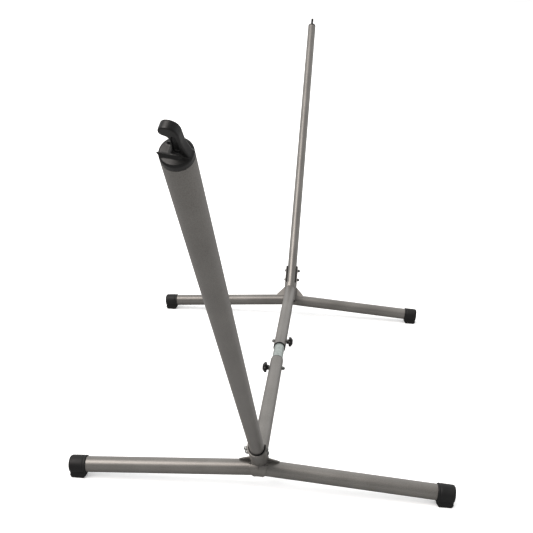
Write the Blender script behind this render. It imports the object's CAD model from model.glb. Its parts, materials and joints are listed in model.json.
"""Free-standing steel hammock stand: its looks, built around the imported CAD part.

The CAD tubes, sockets, gussets, bushes, studs and washers stay as they are and get their
finishes here. The moulded caps, hooks and knobs, the cross bolts, the dome nuts and the
weld beads are made here. Everything is in metres, with +Z up and +Y along the beam to the
far end.
"""

import json
import math

import bmesh
import bpy
from bpy.props import FloatProperty, FloatVectorProperty, IntProperty, PointerProperty
from bpy.types import Operator, Panel, PropertyGroup
from mathutils import Matrix, Vector


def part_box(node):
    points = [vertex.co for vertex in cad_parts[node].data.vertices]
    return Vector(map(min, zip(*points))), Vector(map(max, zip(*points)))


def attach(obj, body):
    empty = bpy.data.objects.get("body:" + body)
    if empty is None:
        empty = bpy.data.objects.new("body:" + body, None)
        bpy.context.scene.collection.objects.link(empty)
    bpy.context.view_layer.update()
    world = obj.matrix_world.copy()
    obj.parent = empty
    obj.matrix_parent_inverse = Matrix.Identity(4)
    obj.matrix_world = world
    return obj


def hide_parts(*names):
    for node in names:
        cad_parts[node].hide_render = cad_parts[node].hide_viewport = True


bl_info = {
    "name": "Hammock Stand",
    "version": (1, 0, 0),
    "blender": (4, 5, 0),
    "location": "View3D > Sidebar > Hammock Stand",
    "description": "Builds a free-standing steel hammock stand",
    "category": "Add Mesh",
}

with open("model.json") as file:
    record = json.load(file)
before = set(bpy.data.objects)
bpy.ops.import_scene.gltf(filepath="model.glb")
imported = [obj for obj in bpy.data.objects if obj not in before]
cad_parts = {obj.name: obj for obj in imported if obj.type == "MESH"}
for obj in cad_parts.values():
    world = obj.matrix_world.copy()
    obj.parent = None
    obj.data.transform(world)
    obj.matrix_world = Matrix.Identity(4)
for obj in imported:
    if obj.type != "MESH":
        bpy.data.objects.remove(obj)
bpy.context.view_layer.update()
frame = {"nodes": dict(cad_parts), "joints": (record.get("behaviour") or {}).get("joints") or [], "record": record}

MM = 0.001
ENDS = ("near", "far")
Z_AXIS = Vector((0, 0, 1))
ROUND_STEPS = 72
CREASE = math.radians(35)  # an edge that turns by more than this is shaded sharp
RIM_ANGLE = math.radians(60)  # and one that turns by more than this is rounded on a plate


# ---------------------------------------------------------------- the stand's frame


def centre_of(node):
    """The middle of a CAD node's box at rest."""
    low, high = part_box(node)
    return (low + high) / 2


def end_place(end):
    """From an end's own frame, whose origin is the hub and whose +Y points outwards."""
    beam_z = centre_of("inner_tube").z
    hub_y = abs(centre_of(f"{end}_foot_tube_left").y)
    turn = Matrix.Rotation(0 if end == "far" else math.pi, 4, "Z")
    return turn @ Matrix.Translation((0, hub_y, beam_z - BEAM_RISE))


def along_arm(end):
    """From a frame whose +Z runs up the arm's axis from the hub."""
    return end_place(end) @ Matrix.Translation((0, 0, ARM_RISE)) @ Matrix.Rotation(
        arm_angle() - math.pi / 2, 4, "X"
    )


def along_foot(end, side):
    """From a frame whose +Z runs out along a foot tube's axis from the hub."""
    return end_place(end) @ Matrix.Rotation(side * (math.pi / 2 + FOOT_SLOPE), 4, "Y")


def at_clamp(end):
    """From a frame whose +Z runs out of the base tube towards the clamp's knob."""
    stud = centre_of(f"{end}_clamp_stud")
    out = 1 if end == "far" else -1
    return Matrix.Translation((0, stud.y, stud.z)) @ Matrix.Rotation(out * math.pi / 2, 4, "Y")


def arm_angle():
    """How steeply an arm rises from the beam, from the axis that its hook turns about."""
    swivel = next(j for j in frame["joints"] if j["name"] == "far_hook_swivel")
    axis = Vector(swivel["axis"])
    return math.atan2(axis.z, axis.y)


# Sizes that the CAD part fixes
BEAM_RISE = 49.4 * MM
ARM_RISE = 36.8 * MM
ARM_LEN = 1739 * MM
FOOT_SLOPE = math.radians(4)
FOOT_R = 25.5 * MM
FOOT_LEN = 619 * MM
CAP_LEN = 57 * MM
CAP_R = 29.5 * MM
PAD_W = 42 * MM
SOCKET_R = 29.5 * MM
SOCKET_FOOT = -46 * MM
BASE_R = 25 * MM
ARM_R = 22 * MM
PLUG_R = 19.9 * MM
BOLTS_AT = (70 * MM, 120 * MM)
SHANK_R = 4 * MM
HOOK_TURN = {"near": math.radians(170), "far": math.radians(270)}
KNOB_IN = 26.8 * MM
SKIRT_TOP = 20 * MM
SKIRT_TIP = 15 * MM
GUSSET_OUT = 64 * MM
GUSSET_TOP = 28 * MM
GUSSET_FACES = {"in": 5.4 * MM, "out": 10.6 * MM}
SIDES = {"left": -1, "right": 1}


# ---------------------------------------------------------------- settings


class StandCaps(PropertyGroup):
    """Sizes of the moulded foot caps."""

    groove: FloatProperty(
        name="Groove depth", description="Depth of the ring groove near the cap's open end",
        unit="LENGTH", default=1.4 * MM)
    corner: FloatProperty(
        name="Corner radius", description="Radius of the cap's closed end",
        unit="LENGTH", default=9 * MM)


class StandHooks(PropertyGroup):
    """Sizes of the hook caps."""

    thickness: FloatProperty(
        name="Thickness", description="Thickness of the hook's blade", unit="LENGTH",
        default=13 * MM)
    recess: FloatProperty(
        name="Recess", description="Depth of the hollow in each side of the neck",
        unit="LENGTH", default=3.6 * MM)


class StandKnobs(PropertyGroup):
    """Sizes of the clamp knobs."""

    radius: FloatProperty(
        name="Radius", description="Outer radius of the knob", unit="LENGTH", default=20.5 * MM)
    height: FloatProperty(
        name="Height", description="Height of the knob's head", unit="LENGTH", default=17 * MM)
    flutes: IntProperty(
        name="Flutes", description="Number of finger flutes", min=3, default=6)


class StandStage(PropertyGroup):
    """Camera, light and floor."""

    camera_at: FloatVectorProperty(
        name="Camera", description="Place of the camera", subtype="TRANSLATION", unit="LENGTH",
        size=3, default=(0.1884, -2.9211, 1.5098))
    lens: FloatProperty(
        name="Lens", description="Focal length, in millimetres", subtype="DISTANCE_CAMERA",
        default=53.83)
    key: FloatProperty(
        name="Key light", description="Strength of the key light", default=2.0)
    backdrop: FloatProperty(
        name="Backdrop", description="Brightness of the studio behind the stand", default=0.85)
    behind: FloatProperty(
        name="Studio", description="Brightness of the studio behind the camera", default=0.17)


# ---------------------------------------------------------------- finishes


def linear(hex_colour):
    """Linear red, green, blue and alpha of an sRGB hex colour."""
    channels = [int(hex_colour[i : i + 2], 16) / 255 for i in (1, 3, 5)]
    return [c / 12.92 if c <= 0.04045 else ((c + 0.055) / 1.055) ** 2.4 for c in channels] + [1]


def add(tree, kind, inputs=None, **settings):
    """Adds a node with its settings. An input is a value or the socket that feeds it."""
    made = tree.nodes.new(kind)
    for name, value in settings.items():
        setattr(made, name, value)
    for name, value in (inputs or {}).items():
        if isinstance(value, bpy.types.NodeSocket):
            tree.links.new(value, made.inputs[name])
        else:
            made.inputs[name].default_value = value
    return made


def started(name):
    """A new material and its empty node tree."""
    material = bpy.data.materials.new(name)
    material.use_nodes = True
    tree = material.node_tree
    tree.nodes.clear()
    return material, tree


def finished(tree, shader):
    """Leads the shader to the material's output."""
    add(tree, "ShaderNodeOutputMaterial", {"Surface": shader.outputs[0]})


def noise(tree, size, detail=2.0, stretch=(1, 1, 1)):
    """Soft noise whose blots are about size metres across."""
    at = add(tree, "ShaderNodeTexCoord").outputs["Object"]
    at = add(tree, "ShaderNodeMapping", {"Vector": at, "Scale": stretch}).outputs[0]
    return add(tree, "ShaderNodeTexNoise", {
        "Vector": at, "Scale": 1 / size, "Detail": detail,
    }).outputs[0]


def spread(tree, value, low, high):
    """Maps the middle of a noise onto low to high."""
    return add(tree, "ShaderNodeMapRange", {
        "Value": value, "From Min": 0.3, "From Max": 0.7, "To Min": low, "To Max": high,
    }).outputs[0]


def two_tone(tree, value, dark, light):
    """A colour between two hex colours, as a noise goes from low to high."""
    share = spread(tree, value, 0.0, 1.0)
    return add(tree, "ShaderNodeMix", {0: share, 6: linear(dark), 7: linear(light)},
               data_type="RGBA").outputs[2]


def relief(tree, height, depth, strength):
    """A bump of depth metres from a pattern's height."""
    return add(tree, "ShaderNodeBump", {
        "Height": height, "Distance": depth, "Strength": strength,
    }).outputs[0]


def powder_coat():
    """Satin metallic powder coat on steel, baked: the flake glints under a soft clear skin."""
    material, tree = started("powder_coated_steel_satin")
    # Flake is 0.05 mm on the real coat and is drawn at 1.5 mm, so that it shows
    flake = noise(tree, 1.5 * MM, detail=1.0)
    # The spray builds up in clouds about a hand wide
    cloud = noise(tree, 130 * MM, detail=2.0)
    colour = two_tone(tree, cloud, "#8b8884", "#9b9894")
    glint = two_tone(tree, flake, "#dcdcdc", "#ffffff")
    colour = add(tree, "ShaderNodeMix", {0: 1.0, 6: colour, 7: glint}, data_type="RGBA",
                 blend_type="MULTIPLY").outputs[2]
    shader = add(tree, "ShaderNodeBsdfPrincipled", {
        "Base Color": colour,
        "Metallic": 0.7,
        "Roughness": spread(tree, cloud, 0.36, 0.44),
        # Orange peel of the baked powder, 3 mm from crest to crest
        "Normal": relief(tree, noise(tree, 3 * MM), 0.05 * MM, 0.5),
    })
    finished(tree, shader)
    return material


def galvanised():
    """Hot-dip galvanised steel tube: cold bright zinc with faint spangle and drawing lines."""
    material, tree = started("galvanised_steel_tube")
    at = add(tree, "ShaderNodeTexCoord").outputs["Object"]
    # Spangle crystals are about 7 mm across
    crystals = add(tree, "ShaderNodeTexVoronoi", {"Vector": at, "Scale": 1 / (7 * MM)})
    grey = add(tree, "ShaderNodeRGBToBW", {"Color": crystals.outputs["Color"]}).outputs[0]
    colour = two_tone(tree, grey, "#a7b0ac", "#bcc4c0")
    # Drawing lines run along the beam and are drawn 1.2 mm apart, so that they show
    lines = noise(tree, 1.2 * MM, stretch=(1, 0.01, 1))
    shader = add(tree, "ShaderNodeBsdfPrincipled", {
        "Base Color": colour,
        "Metallic": 0.85,
        "Roughness": spread(tree, grey, 0.28, 0.4),
        "Normal": relief(tree, lines, 0.02 * MM, 0.4),
    })
    finished(tree, shader)
    return material


def zinc_plated():
    """Zinc-plated steel, tumbled: bright fasteners with a slight haze."""
    material, tree = started("zinc_plated_steel")
    # The barrel leaves clouds of haze about 4 mm across
    haze = noise(tree, 4 * MM)
    shader = add(tree, "ShaderNodeBsdfPrincipled", {
        "Base Color": two_tone(tree, haze, "#7e807f", "#939594"),
        "Metallic": 1.0,
        "Roughness": spread(tree, haze, 0.3, 0.42),
        "Normal": relief(tree, noise(tree, 1 * MM), 0.02 * MM, 0.3),
    })
    finished(tree, shader)
    return material


def moulded_plastic():
    """Black glass-filled nylon, moulded: dark, half matt, with a fine spark-eroded grain."""
    material, tree = started("moulded_black_nylon")
    # The mould's spark grain is 0.1 mm and is drawn at 0.9 mm, so that it shows
    grain = noise(tree, 0.9 * MM, detail=3.0)
    # Glass fibre comes to the surface in patches about a finger wide
    shade = noise(tree, 22 * MM)
    shader = add(tree, "ShaderNodeBsdfPrincipled", {
        "Base Color": two_tone(tree, shade, "#0c0c0d", "#131313"),
        "Roughness": spread(tree, shade, 0.32, 0.4),
        "IOR": 1.53,
        "Specular IOR Level": 0.4,
        "Normal": relief(tree, grain, 0.06 * MM, 0.5),
    })
    finished(tree, shader)
    return material


def cap_rubber():
    """Black thermoplastic rubber, moulded: matt and slightly dusty."""
    material, tree = started("moulded_black_rubber")
    # The mould's grain is 0.2 mm and is drawn at 1.1 mm, so that it shows
    grain = noise(tree, 1.1 * MM, detail=3.0)
    # Dust and handling leave patches about two fingers wide
    shade = noise(tree, 30 * MM)
    shader = add(tree, "ShaderNodeBsdfPrincipled", {
        "Base Color": two_tone(tree, shade, "#0f0f10", "#161616"),
        "Roughness": spread(tree, shade, 0.5, 0.62),
        "IOR": 1.52,
        "Specular IOR Level": 0.4,
        "Normal": relief(tree, grain, 0.08 * MM, 0.5),
    })
    finished(tree, shader)
    return material


FINISHES = {
    "painted_steel": powder_coat,
    "galvanised_steel": galvanised,
    "zinc_steel": zinc_plated,
    "black_plastic": moulded_plastic,
    "cap_rubber": cap_rubber,
}

# The finish of each CAD node that stays in view, by the end of its name
KEPT = {
    "foot_tube_left": "painted_steel", "foot_tube_right": "painted_steel",
    "socket": "painted_steel", "socket_liner": "black_plastic",
    "gusset_left": "painted_steel", "gusset_right": "painted_steel",
    "arm_lower": "painted_steel", "arm_upper": "painted_steel",
    "arm_spigot": "zinc_steel", "base_tube": "painted_steel", "base_bush": "black_plastic",
    "clamp_washer": "zinc_steel", "clamp_stud": "zinc_steel",
    "inner_tube": "galvanised_steel", "inner_glide_near": "black_plastic",
    "inner_glide_far": "black_plastic",
}


def finish(slot):
    """The material of a slot, made once."""
    found = [m for m in bpy.data.materials if m.get("slot") == slot]
    if found:
        return found[0]
    material = FINISHES[slot]()
    material["slot"] = slot
    return material


# ---------------------------------------------------------------- making pieces


def arc(u, w, radius, start, stop, steps):
    """Points of an arc, from start to stop degrees."""
    turns = [math.radians(start + (stop - start) * i / steps) for i in range(steps + 1)]
    return [(u + radius * math.cos(t), w + radius * math.sin(t)) for t in turns]


def lathe(profile, steps):
    """A closed body turned about Z from (radius, height) points."""
    bm = bmesh.new()
    verts = [bm.verts.new((r, 0, z)) for r, z in profile]
    edges = [bm.edges.new(pair) for pair in zip(verts, verts[1:] + verts[:1])]
    bmesh.ops.spin(bm, geom=verts + edges, cent=(0, 0, 0), axis=Z_AXIS, dvec=(0, 0, 0),
                   angle=2 * math.pi, steps=steps, use_merge=True, use_normal_flip=False,
                   use_duplicate=False)
    tidy(bm)
    return bm


def tidy(bm):
    """Merges doubles, drops what collapsed and turns the faces outwards."""
    gap = 0.001 * MM
    bmesh.ops.remove_doubles(bm, verts=bm.verts, dist=gap)
    bmesh.ops.dissolve_degenerate(bm, edges=bm.edges, dist=gap / 10)
    loose = [v for v in bm.verts if not v.link_faces]
    bmesh.ops.delete(bm, geom=loose, context="VERTS")
    bmesh.ops.recalc_face_normals(bm, faces=bm.faces)


def slab(outline, thickness, edge):
    """A plate in the XZ plane, centred on Y, with its rim rounded."""
    bm = bmesh.new()
    face = bm.faces.new([bm.verts.new((u, -thickness / 2, w)) for u, w in outline])
    made = bmesh.ops.extrude_face_region(bm, geom=[face])
    moved = [g for g in made["geom"] if isinstance(g, bmesh.types.BMVert)]
    bmesh.ops.translate(bm, verts=moved, vec=(0, thickness, 0))
    tidy(bm)
    rim = [e for e in bm.edges if e.is_manifold and e.calc_face_angle() > RIM_ANGLE]
    bmesh.ops.bevel(bm, geom=rim, offset=edge, offset_type="OFFSET", segments=4, profile=0.5,
                    affect="EDGES", material=-1, clamp_overlap=True)
    tidy(bm)
    return bm


def joined(*parts):
    """One bmesh that holds several."""
    bm = bmesh.new()
    for part in parts:
        held = bpy.data.meshes.new("held")
        part.to_mesh(held)
        bm.from_mesh(held)
        part.free()
        bpy.data.meshes.remove(held)
    return bm


def through_modifier(bm, kind, **settings):
    """The mesh as one modifier leaves it."""
    mesh = bpy.data.meshes.new("worked")
    bm.to_mesh(mesh)
    bm.free()
    worked = bpy.data.objects.new("worked", mesh)
    bpy.context.scene.collection.objects.link(worked)
    modifier = worked.modifiers.new("work", kind)
    for name, value in settings.items():
        setattr(modifier, name, value)
    shown = worked.evaluated_get(bpy.context.evaluated_depsgraph_get())
    out = bmesh.new()
    out.from_mesh(shown.to_mesh())
    bpy.data.objects.remove(worked)
    bpy.data.meshes.remove(mesh)
    return out


def moulded(bm, grain, rounds):
    """Fuses overlapping bodies into one moulding and softens its edges."""
    bm = through_modifier(bm, "REMESH", mode="VOXEL", voxel_size=grain, use_smooth_shade=True)
    for _ in range(rounds):
        bmesh.ops.smooth_vert(bm, verts=bm.verts, factor=0.5, use_axis_x=True, use_axis_y=True,
                              use_axis_z=True)
    return bm


def carved(bm, cutter):
    """bm without the space that cutter fills."""
    mesh = bpy.data.meshes.new("cutter")
    cutter.to_mesh(mesh)
    cutter.free()
    tool = bpy.data.objects.new("cutter", mesh)
    bpy.context.scene.collection.objects.link(tool)
    out = through_modifier(bm, "BOOLEAN", operation="DIFFERENCE", object=tool, solver="EXACT")
    bpy.data.objects.remove(tool)
    bpy.data.meshes.remove(mesh)
    return out


def piece(name, bm, place, body, slot, replaced=()):
    """Puts a finished bmesh in the scene, at its place, on its body."""
    bmesh.ops.transform(bm, matrix=place, verts=bm.verts)
    for face in bm.faces:
        face.smooth = True
    for edge in bm.edges:
        edge.smooth = not (edge.is_manifold and edge.calc_face_angle() > CREASE)
    mesh = bpy.data.meshes.new(name)
    bm.to_mesh(mesh)
    bm.free()
    mesh.materials.append(finish(slot))
    made = bpy.data.objects.new(name, mesh)
    bpy.context.scene.collection.objects.link(made)
    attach(made, body)
    if replaced:
        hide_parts(*replaced)
    return made


# ---------------------------------------------------------------- the pieces


class STAND_OT_finishes(Operator):
    """Give the CAD tubes, sockets and bushes their finishes"""

    bl_idname = "stand.finishes"
    bl_label = "Tube Finishes"

    def execute(self, context):
        for name, node in frame["nodes"].items():
            kind = name.removeprefix("near_").removeprefix("far_")
            if kind in KEPT:
                node.data.materials.clear()
                node.data.materials.append(finish(KEPT[kind]))
        return {"FINISHED"}


class STAND_OT_foot_caps(Operator):
    """Mould the four foot caps, each a grooved cup on a flat pad"""

    bl_idname = "stand.foot_caps"
    bl_label = "Foot Caps"

    def execute(self, context):
        caps = context.scene.stand_caps
        for end in ENDS:
            for side_name, side in SIDES.items():
                side_of_end = side if end == "far" else -side
                node = f"{end}_foot_cap_{side_name}"
                place = along_foot(end, side_of_end)
                cap = joined(self.cup(caps), self.pad(end, side_of_end, place))
                bm = moulded(cap, 1.0 * MM, 3)
                piece(node + "_moulding", bm, place, f"{end}_frame", "cap_rubber", [node])
        return {"FINISHED"}

    @staticmethod
    def cup(caps):
        """The cup over the tube's end, with a ring groove near its lip."""
        low, top = FOOT_LEN - CAP_LEN, FOOT_LEN
        lip = 2 * MM
        floor = top - 5 * MM
        groove_at = low + 9 * MM
        mouth, bed = 1.5 * MM, 0.7 * MM
        bed_r = CAP_R - caps.groove
        outline = arc(CAP_R - lip, low + lip, lip, -90, 0, 4)
        outline += [(CAP_R, groove_at - mouth), (bed_r, groove_at - bed),
                    (bed_r, groove_at + bed), (CAP_R, groove_at + mouth)]
        outline += arc(CAP_R - caps.corner, top - caps.corner, caps.corner, 0, 90, 8)
        outline += [(0, top), (0, floor), (FOOT_R, floor), (FOOT_R, low)]
        return lathe(outline, ROUND_STEPS)

    @staticmethod
    def pad(end, side, place):
        """The flat pad, from its side view at the hub, taken into the foot tube's frame."""
        ground = -end_place(end).translation.z
        axis = (FOOT_LEN - CAP_LEN / 2) * math.sin(FOOT_SLOPE)
        inset = 4 * MM
        outer = FOOT_LEN - inset
        inner = FOOT_LEN - CAP_LEN + inset
        heel = inner - 6 * MM
        outline = [(inner + 3 * MM, ground), (outer - 5 * MM, ground), (outer, ground + 8 * MM),
                   (outer - 3 * MM, -axis), (inner, -axis),
                   (heel, -axis - 14 * MM), (heel, ground + 13 * MM)]
        edge = 4 * MM
        bm = slab([(side * u, w) for u, w in outline], PAD_W, edge)
        into_foot = place.inverted() @ end_place(end)
        bmesh.ops.transform(bm, matrix=into_foot, verts=bm.verts)
        return bm


# Where the lips beside a hook's throat end, in millimetres along X from the arm's axis
LONG_LIP = -23
SHORT_LIP = -15


class STAND_OT_hooks(Operator):
    """Mould the hook cap of each arm"""

    bl_idname = "stand.hooks"
    bl_label = "Hook Caps"

    def execute(self, context):
        hooks = context.scene.stand_hooks
        for end in ENDS:
            place = along_arm(end) @ Matrix.Rotation(HOOK_TURN[end], 4, "Z") @ Matrix.Translation(
                (0, 0, ARM_LEN))
            bm = joined(self.plug(), self.blade(hooks), self.flare(),
                        self.lip(-1, LONG_LIP), self.lip(1, SHORT_LIP))
            bm = moulded(bm, 0.8 * MM, 0)
            for side in SIDES.values():
                bm = carved(bm, self.recess(hooks, side))
            bm = moulded(bm, 0.7 * MM, 3)
            node = f"{end}_hook_cap"
            piece(node + "_moulding", bm, place, f"{end}_hook", "black_plastic", [node])
        return {"FINISHED"}

    @staticmethod
    def plug():
        """The plug inside the tube, and the flange that sits on its end."""
        end, taper_from, seat = -45 * MM, -41 * MM, 0.3 * MM
        rim, top = 1.5 * MM, 10 * MM
        outline = [(0, end), (17 * MM, end), (PLUG_R, taper_from), (PLUG_R, seat), (ARM_R, seat)]
        outline += arc(ARM_R - rim, top - rim, rim, 0, 90, 4) + [(0, top)]
        return lathe(outline, ROUND_STEPS)

    @staticmethod
    def blade(hooks):
        """The hook's side view, opening towards -X, in millimetres."""
        back = [(20.5, 8), (19, 13), (16.6, 20), (14.2, 28), (12.6, 37), (11.9, 46), (11.2, 54)]
        head = [(8.6, 60.4), (4, 64), (-2, 65.2), (-8, 64), (-12.2, 60.4), (-13.6, 56)]
        nose = [(-12.8, 51.4), (-9.6, 48.8), (-5.2, 47.6)]
        throat = [(-2, 44.6), (-1, 39), (-1.4, 30), (-2.4, 21), (-5, 14), (-9, 11.5), (-8, 8)]
        outline = [(u * MM, w * MM) for u, w in back + head + nose + throat]
        edge = 4.5 * MM
        return slab(rounded_outline(outline), hooks.thickness, edge)

    @staticmethod
    def flare():
        """The crowned top of the flange, in millimetres."""
        outline = [(0, 8), (21, 8), (21.3, 9.6), (20, 11), (12, 11.6), (0, 11.6)]
        return lathe([(r * MM, z * MM) for r, z in outline], ROUND_STEPS)

    @staticmethod
    def lip(side, end):
        """A wall along one side of the throat, lower and shorter on its outer face."""
        outline = [(end + 3, 8), (end, 15.2), (end + 4, 15.4), (-4, 15), (9, 15.2), (14, 8)]
        wall, edge, offset = 6.5 * MM, 0.8 * MM, 10.8 * MM
        outer_top, outer_share = 10.5 * MM, 0.72
        bm = slab([(u * MM, w * MM) for u, w in outline], wall, edge)
        for v in bm.verts:
            if v.co.y * side > 1 * MM:
                v.co.z = min(v.co.z, outer_top)
                v.co.x *= outer_share
        bmesh.ops.translate(bm, verts=bm.verts, vec=(0, side * offset, 0))
        return bm

    @staticmethod
    def recess(hooks, side):
        """The hollow in one side of the neck, inside a rim that runs down its back."""
        front = [(0.6, 19), (0.4, 32), (0.6, 44)]
        back = [(3.2, 50), (6.4, 49), (7.6, 42), (8, 30), (8.4, 19)]
        outline = [(u * MM, w * MM) for u, w in front + back]
        edge = 1 * MM
        bm = slab(rounded_outline(outline), 2 * hooks.recess, edge)
        bmesh.ops.translate(bm, verts=bm.verts, vec=(0, side * hooks.thickness / 2, 0))
        return bm


def rounded_outline(points):
    """A smooth closed outline through the points, each span a cubic between two of them."""
    out = []
    count = len(points)
    per_span = 4
    for i in range(count):
        a, b, c, d = (Vector(points[(i + k) % count]) for k in (-1, 0, 1, 2))
        for step in range(per_span):
            t = step / per_span
            p = 0.5 * (2 * b + (c - a) * t + (2 * a - 5 * b + 4 * c - d) * t * t
                       + (3 * b - a - 3 * c + d) * t * t * t)
            out.append((p.x, p.y))
    return out


class STAND_OT_knobs(Operator):
    """Mould the fluted clamp knobs"""

    bl_idname = "stand.knobs"
    bl_label = "Clamp Knobs"

    def execute(self, context):
        knobs = context.scene.stand_knobs
        for end in ENDS:
            bm = self.knob(knobs)
            node = f"{end}_clamp_knob"
            place = at_clamp(end) @ Matrix.Translation((0, 0, KNOB_IN))
            piece(node + "_moulding", bm, place, f"{end}_knob", "black_plastic", [node])
        return {"FINISHED"}

    @staticmethod
    def knob(knobs):
        """A head on a short neck, turned about its stud, then fluted for the fingers."""
        bore, neck_r, neck_edge = 4 * MM, 10 * MM, 1 * MM
        under, crown = 4 * MM, 6 * MM
        neck = 7 * MM
        top = neck + knobs.height
        r = knobs.radius
        outline = [(bore, 0), (neck_r - neck_edge, 0)]
        outline += arc(neck_r - neck_edge, neck_edge, neck_edge, -90, 0, 3)[1:]
        outline += [(neck_r, neck - 2 * MM), (11 * MM, neck - 0.3 * MM), (13 * MM, neck)]
        outline += arc(r - under, neck + 4.5 * MM, under, -80, 0, 6)
        outline += arc(r - crown, neck + 6 * MM, crown, 0, 55, 6)
        # A shallow groove runs round the middle of the top
        outline += [(r * 0.66, top - 2.6 * MM), (r * 0.55, top - 0.6 * MM), (r * 0.42, top),
                    (r * 0.36, top - 0.8 * MM), (r * 0.3, top - 0.3 * MM), (0, top)]
        outline += [(0, neck), (bore, neck)]
        bm = lathe(outline, 96)
        # Flutes start at 0.4 of the radius and take 0.15 off it at the rim
        plain, depth, sharpness = 0.4, 0.15, 1.6
        for v in bm.verts:
            out = math.hypot(v.co.x, v.co.y)
            if v.co.z > neck * 0.9 and out > plain * r:
                turn = math.atan2(v.co.y, v.co.x) * knobs.flutes
                dip = max(0.0, 0.5 + 0.5 * math.cos(turn)) ** sharpness
                share = min(1.0, (out - plain * r) / ((1 - plain) * r))
                shrink = 1 - depth * dip * share
                v.co.x *= shrink
                v.co.y *= shrink
        bmesh.ops.recalc_face_normals(bm, faces=bm.faces)
        return bm


def dome_nut():
    """M8 hexagon nut that stands on Z = 0, with its domed end up."""
    flats, height = 13 * MM, 6.5 * MM
    hexagon = bmesh.new()
    bmesh.ops.create_cone(hexagon, cap_ends=True, segments=6, radius1=flats / math.sqrt(3),
                          radius2=flats / math.sqrt(3), depth=height,
                          matrix=Matrix.Translation((0, 0, height / 2)))
    rim = [e for e in hexagon.edges if abs(e.verts[0].co.z - e.verts[1].co.z) < height / 2]
    bmesh.ops.bevel(hexagon, geom=rim, offset=0.7 * MM, offset_type="OFFSET", segments=2,
                    profile=0.5, affect="EDGES", material=-1, clamp_overlap=True)
    tidy(hexagon)
    skirt, flatness = 6.1 * MM, 0.8
    low, spring = height - 1 * MM, height + 0.4 * MM
    outline = [(0, low), (skirt, low), (skirt, spring)]
    outline += arc(0, spring, skirt, 12, 90, 8)[:-1] + [(0, height + flatness * skirt)]
    dome = lathe(outline, 40)
    for v in dome.verts:
        if v.co.z > spring:
            v.co.z = spring + (v.co.z - spring) * flatness
    return joined(hexagon, dome)


def mushroom_head():
    """Domed bolt head on Z = 0."""
    r, height = 7.5 * MM, 5.5 * MM
    ball = (r * r + height * height) / (2 * height)
    start = math.degrees(math.asin((ball - height) / ball))
    outline = [(0, 0), (r - 0.3 * MM, 0), (r, 0.4 * MM)]
    outline += arc(0, height - ball, ball, start + 5, 90, 8)[:-1] + [(0, height)]
    return lathe(outline, 40)


def shank():
    """The bolt between its head and its nut, along Z and centred on the arm's axis."""
    bm = bmesh.new()
    bmesh.ops.create_cone(bm, cap_ends=True, segments=32, radius1=SHANK_R, radius2=SHANK_R,
                          depth=2 * SOCKET_R - 0.5 * MM)
    return bm


def across_arm(bm, x, height):
    """Turns a fastener's Z to face out across the arm, and puts it at its place on the bolt."""
    turn = -math.pi / 2 if x < 0 else math.pi / 2
    place = Matrix.Translation((x, 0, height)) @ Matrix.Rotation(turn, 4, "Y")
    bmesh.ops.transform(bm, matrix=place, verts=bm.verts)
    return bm


class STAND_OT_fasteners(Operator):
    """Make the cross bolts, dome nuts and clamp nuts"""

    bl_idname = "stand.fasteners"
    bl_label = "Bolts And Nuts"

    def execute(self, context):
        for end in ENDS:
            body = f"{end}_frame"
            arm = along_arm(end)
            bolts, nuts = [], []
            for height in BOLTS_AT:
                nuts.append(across_arm(dome_nut(), SOCKET_R, height))
                bolts.append(across_arm(mushroom_head(), -SOCKET_R, height))
                bolts.append(across_arm(shank(), 0, height))
            piece(f"{end}_arm_bolts_bright", joined(*bolts), arm, body, "zinc_steel",
                  [f"{end}_arm_bolts"])
            piece(f"{end}_arm_nuts_bright", joined(*nuts), arm, body, "zinc_steel",
                  [f"{end}_arm_nuts"])
            place = at_clamp(end) @ Matrix.Translation((0, 0, -BASE_R)) @ Matrix.Rotation(
                math.pi, 4, "Y")
            piece(f"{end}_clamp_nut_bright", dome_nut(), place, body_of_nut(end), "zinc_steel",
                  [f"{end}_clamp_nut"])
        return {"FINISHED"}


def body_of_nut(end):
    """The body that the CAD part gives an end's clamp nut."""
    bodies = frame["record"]["behaviour"]["bodies"]
    return next(b for b, nodes in bodies.items() if f"{end}_clamp_nut" in nodes)


def entry(tube_place, tube_r, other_place, other_r):
    """Points around a tube where it runs into another, in the other's frame.

    A line of the tube that misses the other one gives None.
    """
    into = other_place.inverted() @ tube_place
    along = into.to_3x3() @ Z_AXIS
    steps = 48
    points = []
    for i in range(steps + 1):
        turn = 2 * math.pi * i / steps
        start = into @ Vector((tube_r * math.cos(turn), tube_r * math.sin(turn), 0))
        a = along.x ** 2 + along.y ** 2
        b = 2 * (start.x * along.x + start.y * along.y)
        c = start.x ** 2 + start.y ** 2 - other_r ** 2
        inside = b * b - 4 * a * c
        if inside < 0:
            points.append(None)
            continue
        t = (-b + math.sqrt(inside)) / (2 * a)
        points.append(start + along * t)
    return points


# A weld bead swells by a sixth and thins again about every 3 mm along its line
BEAD_STEP = 1.1 * MM
BEAD_SWELL = 0.16
BEAD_TURN = 2.1
# Radii of the beads
TUBE_BEAD = 1.8 * MM
SKIRT_BEAD = 1.6 * MM
GUSSET_BEAD = 1.4 * MM


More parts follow.
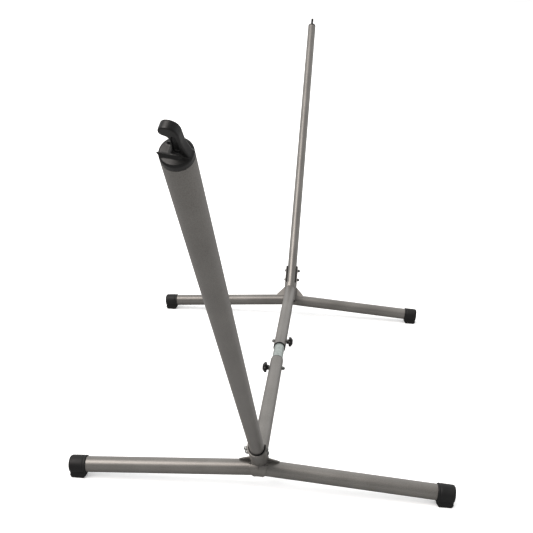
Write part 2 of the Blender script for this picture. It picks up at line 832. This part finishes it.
def bead(name, points, place, body, size):
    """A weld bead along points, with the ripples that the welder's steps leave."""
    curve = bpy.data.curves.new(name, "CURVE")
    curve.dimensions = "3D"
    curve.bevel_depth = size
    curve.bevel_resolution = 2
    curve.use_fill_caps = True
    fine = resampled(points, BEAD_STEP)
    line = curve.splines.new("POLY")
    line.points.add(len(fine) - 1)
    for i, p in enumerate(fine):
        line.points[i].co = (*p, 1)
        line.points[i].radius = 1.0 + BEAD_SWELL * math.sin(i * BEAD_TURN)
    holder = bpy.data.objects.new(name + "_line", curve)
    bpy.context.scene.collection.objects.link(holder)
    shown = holder.evaluated_get(bpy.context.evaluated_depsgraph_get())
    bm = bmesh.new()
    bm.from_mesh(shown.to_mesh())
    bpy.data.objects.remove(holder)
    bpy.data.curves.remove(curve)
    tidy(bm)
    return piece(name, bm, place, body, "painted_steel")


def resampled(points, step):
    """The line through points, with a point about every step along it."""
    out = [points[0]]
    for a, b in zip(points, points[1:]):
        count = max(1, round((b - a).length / step))
        out += [a.lerp(b, i / count) for i in range(1, count + 1)]
    return out


class STAND_OT_welds(Operator):
    """Lay the weld beads that join the tubes to the sockets"""

    bl_idname = "stand.welds"
    bl_label = "Weld Beads"

    def execute(self, context):
        for end in ENDS:
            arm = along_arm(end)
            body = f"{end}_frame"
            for side_name, side in SIDES.items():
                side_of_end = side if end == "far" else -side
                ring = entry(along_foot(end, side_of_end), FOOT_R, arm, SOCKET_R)
                ring = [p if p is not None and p.z > SOCKET_FOOT else None for p in ring]
                for i, run in enumerate(self.runs(ring)):
                    bead(f"{end}_weld_foot_{side_name}_{i}", run, arm, body, TUBE_BEAD)
                bead(f"{end}_weld_skirt_{side_name}", self.skirt_edge(side_of_end),
                     end_place(end), body, SKIRT_BEAD)
                for face, y in GUSSET_FACES.items():
                    bead(f"{end}_weld_gusset_{side_name}_{face}",
                         self.gusset_root(end, side_of_end, y), arm, body, GUSSET_BEAD)
            beam = end_place(end) @ Matrix.Translation((0, 0, BEAM_RISE)) @ Matrix.Rotation(
                math.pi / 2, 4, "X")
            ring = entry(beam, BASE_R, arm, SOCKET_R)
            for i, run in enumerate(self.runs(ring)):
                bead(f"{end}_weld_beam_{i}", run, arm, body, TUBE_BEAD)
        return {"FINISHED"}

    @staticmethod
    def skirt_edge(side):
        """Down the slanting edge of the socket's skirt, on the foot tube's outer side."""
        points = []
        proud = 1 * MM
        bead_r = FOOT_R + proud
        for degrees in range(42, -58, -4):
            turn = math.radians(degrees)
            z = bead_r * math.sin(turn)
            x = SKIRT_TIP + (SOCKET_R - SKIRT_TIP) * (z + FOOT_R) / (FOOT_R + SKIRT_TOP)
            points.append(Vector((side * (x + proud), bead_r * math.cos(turn),
                                  z - x * math.tan(FOOT_SLOPE))))
        return points

    @staticmethod
    def gusset_root(end, side, y):
        """Along a gusset's foot on the tube, then up the socket, in the arm's frame."""
        into = along_foot(end, side).inverted() @ along_arm(end)
        points = []
        steps_in, steps_up, halvings = 17, 6, 24
        for i in range(steps_in + 1):
            x = side * (GUSSET_OUT - (GUSSET_OUT - SOCKET_R) * i / steps_in)
            # Halve the gap between a height in the foot tube and one above it
            low, high = -20 * MM, 40 * MM
            for _ in range(halvings):
                middle = (low + high) / 2
                at = into @ Vector((x, y, middle))
                if math.hypot(at.x, at.y) < FOOT_R:
                    low = middle
                else:
                    high = middle
            points.append(Vector((x, y, high)))
        up = math.sqrt(SOCKET_R ** 2 - y ** 2)
        start = points[-1].z
        for i in range(1, steps_up + 1):
            points.append(Vector((side * up, y, start + (GUSSET_TOP - start) * i / steps_up)))
        return points

    @staticmethod
    def runs(points):
        """The stretches of a ring of points between its gaps, where it has None."""
        ring = points[:-1]
        gap = next((i for i, p in enumerate(ring) if p is None), None)
        if gap is None:
            return [points]
        found = [[]]
        for p in ring[gap:] + ring[:gap]:
            if p is None:
                found.append([])
            else:
                found[-1].append(p)
        return [run for run in found if len(run) > 2]


VIEW_YAW = math.radians(-5.21)
VIEW_PITCH = math.radians(-18.94)
VIEW_ROLL = math.radians(1.59)
VIEW_SHIFT = (0.0096, -0.0013)
SENSOR_WIDTH = 36  # mm, which the lens's focal length is for
VIEW_END = 1000  # m, past the floor's rim
FLOOR_R = 400  # m, so that its rim is far behind the stand
FLOOR_BOUNCE = (0.28, 0.28, 0.28, 1)
FLOOR_GLOW = 0.25
WHITE = (1, 1, 1, 1)
KEY_TOWARDS = Vector((0.62, 0.45, -1.0))
KEY_SOFTNESS = math.radians(40)
KEY_COLOUR = (1.0, 0.94, 0.9)


class STAND_OT_stage(Operator):
    """Set the camera, the pale floor and the soft light"""

    bl_idname = "stand.stage"
    bl_label = "Camera, Light And Floor"

    def execute(self, context):
        stage = context.scene.stand_stage
        self.camera(context.scene, stage)
        self.floor(context.scene)
        self.light(context.scene, stage)
        return {"FINISHED"}

    @staticmethod
    def camera(scene, stage):
        """Looks down the beam from above the near end, slightly rolled."""
        data = bpy.data.cameras.new("camera")
        data.lens = stage.lens
        data.sensor_width = SENSOR_WIDTH
        data.shift_x, data.shift_y = VIEW_SHIFT
        data.clip_end = VIEW_END
        camera = bpy.data.objects.new("camera", data)
        scene.collection.objects.link(camera)
        forward = Vector((math.sin(VIEW_YAW) * math.cos(VIEW_PITCH),
                          math.cos(VIEW_YAW) * math.cos(VIEW_PITCH), math.sin(VIEW_PITCH)))
        right = Vector((math.cos(VIEW_YAW), -math.sin(VIEW_YAW), 0))
        up = right.cross(forward)
        across = right * math.cos(VIEW_ROLL) + up * math.sin(VIEW_ROLL)
        upward = up * math.cos(VIEW_ROLL) - right * math.sin(VIEW_ROLL)
        turn = Matrix((across, upward, -forward)).transposed()
        camera.matrix_world = Matrix.Translation(stage.camera_at) @ turn.to_4x4()
        scene.camera = camera

    @staticmethod
    def floor(scene):
        """A matt white floor that throws less light back at the stand than it shows."""
        bm = bmesh.new()
        bmesh.ops.create_circle(bm, cap_ends=True, segments=128, radius=FLOOR_R)
        mesh = bpy.data.meshes.new("floor")
        bm.to_mesh(mesh)
        bm.free()
        material, tree = started("studio_floor_white")
        seen = add(tree, "ShaderNodeLightPath").outputs["Is Camera Ray"]
        tone = add(tree, "ShaderNodeMix", {0: seen, 6: FLOOR_BOUNCE, 7: WHITE},
                   data_type="RGBA").outputs[2]
        paper = add(tree, "ShaderNodeBsdfDiffuse", {"Color": tone})
        glow = add(tree, "ShaderNodeEmission", {"Color": WHITE, "Strength": FLOOR_GLOW})
        shown = add(tree, "ShaderNodeMixShader", {0: seen, 2: glow.outputs[0]})
        both = add(tree, "ShaderNodeAddShader", {0: paper.outputs[0], 1: shown.outputs[0]})
        finished(tree, both)
        mesh.materials.append(material)
        floor = bpy.data.objects.new("floor", mesh)
        scene.collection.objects.link(floor)

    @staticmethod
    def light(scene, stage):
        """A white studio, which gloss mirrors bright beyond the stand and dim before it."""
        world = bpy.data.worlds.new("studio")
        scene.world = world
        world.use_nodes = True
        tree = world.node_tree
        tree.nodes.clear()
        mirrored = add(tree, "ShaderNodeLightPath").outputs["Is Glossy Ray"]
        facing = add(tree, "ShaderNodeTexCoord").outputs["Generated"]
        depth = add(tree, "ShaderNodeSeparateXYZ", {"Vector": facing}).outputs["Y"]
        studio = add(tree, "ShaderNodeMapRange", {
            "Value": depth, "From Min": -0.5, "From Max": 0.7,
            "To Min": stage.behind, "To Max": stage.backdrop,
        }).outputs[0]
        around = add(tree, "ShaderNodeMix", {0: mirrored, 6: WHITE, 7: studio},
                     data_type="RGBA").outputs[2]
        lit = add(tree, "ShaderNodeBackground", {"Color": around})
        add(tree, "ShaderNodeOutputWorld", {"Surface": lit.outputs[0]})
        data = bpy.data.lights.new("key", "SUN")
        data.energy = stage.key
        data.angle = KEY_SOFTNESS
        data.color = KEY_COLOUR
        key = bpy.data.objects.new("key", data)
        scene.collection.objects.link(key)
        key.rotation_mode = "QUATERNION"
        key.rotation_quaternion = KEY_TOWARDS.to_track_quat("-Z", "Y")
        scene.view_settings.view_transform = "Standard"


class STAND_PT_panel(Panel):
    """Lists the stand's pieces"""

    bl_label = "Hammock Stand"
    bl_idname = "STAND_PT_panel"
    bl_space_type = "VIEW_3D"
    bl_region_type = "UI"
    bl_category = "Hammock Stand"

    def draw(self, context):
        for group in GROUPS:
            settings = getattr(context.scene, group)
            for name in settings.__annotations__:
                self.layout.prop(settings, name)
        for operator in OPERATORS:
            self.layout.operator(operator.bl_idname)


GROUPS = {
    "stand_caps": StandCaps,
    "stand_hooks": StandHooks,
    "stand_knobs": StandKnobs,
    "stand_stage": StandStage,
}
OPERATORS = (
    STAND_OT_stage,
    STAND_OT_finishes,
    STAND_OT_foot_caps,
    STAND_OT_hooks,
    STAND_OT_knobs,
    STAND_OT_fasteners,
    STAND_OT_welds,
)


def register():
    for cls in (*GROUPS.values(), *OPERATORS, STAND_PT_panel):
        bpy.utils.register_class(cls)
    for name, group in GROUPS.items():
        setattr(bpy.types.Scene, name, PointerProperty(type=group))


def unregister():
    for name in GROUPS:
        delattr(bpy.types.Scene, name)
    for cls in (STAND_PT_panel, *reversed(OPERATORS), *reversed(GROUPS.values())):
        bpy.utils.unregister_class(cls)


def main():
    register()
    for operator in OPERATORS:
        group, name = operator.bl_idname.split(".")
        getattr(getattr(bpy.ops, group), name)()


if __name__ == "__main__":
    main()
